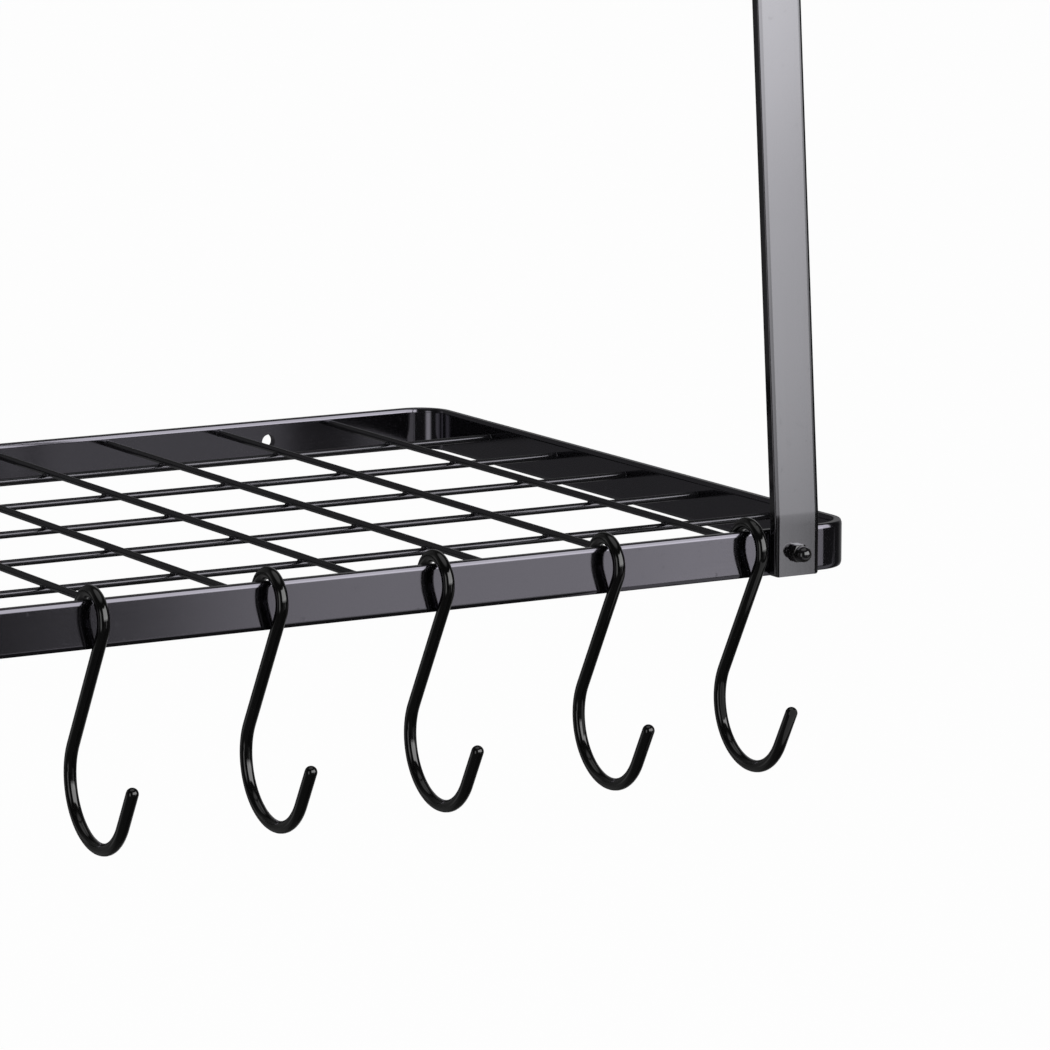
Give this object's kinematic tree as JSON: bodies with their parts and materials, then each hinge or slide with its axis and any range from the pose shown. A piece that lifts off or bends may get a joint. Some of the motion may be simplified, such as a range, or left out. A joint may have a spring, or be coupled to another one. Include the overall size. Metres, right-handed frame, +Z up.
{
  "type": "wall-mounted pot rack",
  "caption": "Wall-mounted pot rack: flat-bar shelf rim with a welded wire grid, straps back to the wall, and S-hooks that swing on its front rail.",
  "frame": {"origin": "on the wall plane, midway between the two wall-screw holes of the back rail", "axes": "+X along the wall to the right, +Y into the wall, +Z up; the rack lies on the -Y side"},
  "size_m": [0.904, 0.3899, 0.4959],
  "materials": {
    "graphite_bar": "satin graphite grey, slightly metallic",
    "dark_wire": "satin dark grey",
    "black_hook": "gloss black",
    "black_fastener": "gloss black"
  },
  "bodies": {
    "rack": {"shelf_rim": "graphite_bar", "long_wire_1": "dark_wire", "long_wire_2": "dark_wire", "long_wire_3": "dark_wire", "long_wire_4": "dark_wire", "long_wire_5": "dark_wire", "cross_wire_01": "dark_wire", "cross_wire_02": "dark_wire", "cross_wire_03": "dark_wire", "cross_wire_04": "dark_wire", "cross_wire_05": "dark_wire", "cross_wire_06": "dark_wire", "cross_wire_07": "dark_wire", "cross_wire_08": "dark_wire", "cross_wire_09": "dark_wire", "cross_wire_10": "dark_wire", "cross_wire_11": "dark_wire", "cross_wire_12": "dark_wire", "cross_wire_13": "dark_wire", "cross_wire_14": "dark_wire", "cross_wire_15": "dark_wire", "strap_left": "graphite_bar", "strap_right": "graphite_bar", "strap_bolts": "black_fastener", "cap_nuts": "black_fastener"},
    "hook_01_body": {"hook_01": "black_hook"},
    "hook_02_body": {"hook_02": "black_hook"},
    "hook_03_body": {"hook_03": "black_hook"},
    "hook_04_body": {"hook_04": "black_hook"},
    "hook_05_body": {"hook_05": "black_hook"},
    "hook_06_body": {"hook_06": "black_hook"},
    "hook_07_body": {"hook_07": "black_hook"},
    "hook_08_body": {"hook_08": "black_hook"},
    "hook_09_body": {"hook_09": "black_hook"},
    "hook_10_body": {"hook_10": "black_hook"},
    "hook_11_body": {"hook_11": "black_hook"},
    "hook_12_body": {"hook_12": "black_hook"}
  },
  "joints": [
    {"name": "hook_01_swing", "type": "hinge", "parent": "rack", "child": "hook_01_body", "pos_m": [-0.40025, -0.354, 0.00205], "axis": [1, 0, 0], "range_deg": [-65, 2]},
    {"name": "hook_02_swing", "type": "hinge", "parent": "rack", "child": "hook_02_body", "pos_m": [-0.32544, -0.354, 0.00205], "axis": [1, 0, 0], "range_deg": [-65, 2]},
    {"name": "hook_03_swing", "type": "hinge", "parent": "rack", "child": "hook_03_body", "pos_m": [-0.25402, -0.354, 0.00205], "axis": [1, 0, 0], "range_deg": [-65, 2]},
    {"name": "hook_04_swing", "type": "hinge", "parent": "rack", "child": "hook_04_body", "pos_m": [-0.1817, -0.354, 0.00205], "axis": [1, 0, 0], "range_deg": [-65, 2]},
    {"name": "hook_05_swing", "type": "hinge", "parent": "rack", "child": "hook_05_body", "pos_m": [-0.10622, -0.354, 0.00205], "axis": [1, 0, 0], "range_deg": [-65, 2]},
    {"name": "hook_06_swing", "type": "hinge", "parent": "rack", "child": "hook_06_body", "pos_m": [-0.03797, -0.354, 0.00205], "axis": [1, 0, 0], "range_deg": [-65, 2]},
    {"name": "hook_07_swing", "type": "hinge", "parent": "rack", "child": "hook_07_body", "pos_m": [0.0339, -0.354, 0.00205], "axis": [1, 0, 0], "range_deg": [-65, 2]},
    {"name": "hook_08_swing", "type": "hinge", "parent": "rack", "child": "hook_08_body", "pos_m": [0.10622, -0.354, 0.00205], "axis": [1, 0, 0], "range_deg": [-65, 2]},
    {"name": "hook_09_swing", "type": "hinge", "parent": "rack", "child": "hook_09_body", "pos_m": [0.18216, -0.354, 0.00205], "axis": [1, 0, 0], "range_deg": [-65, 2]},
    {"name": "hook_10_swing", "type": "hinge", "parent": "rack", "child": "hook_10_body", "pos_m": [0.25538, -0.354, 0.00205], "axis": [1, 0, 0], "range_deg": [-65, 2]},
    {"name": "hook_11_swing", "type": "hinge", "parent": "rack", "child": "hook_11_body", "pos_m": [0.33312, -0.354, 0.00205], "axis": [1, 0, 0], "range_deg": [-65, 2]},
    {"name": "hook_12_swing", "type": "hinge", "parent": "rack", "child": "hook_12_body", "pos_m": [0.40025, -0.354, 0.00205], "axis": [1, 0, 0], "range_deg": [-65, 2]}
  ]
}
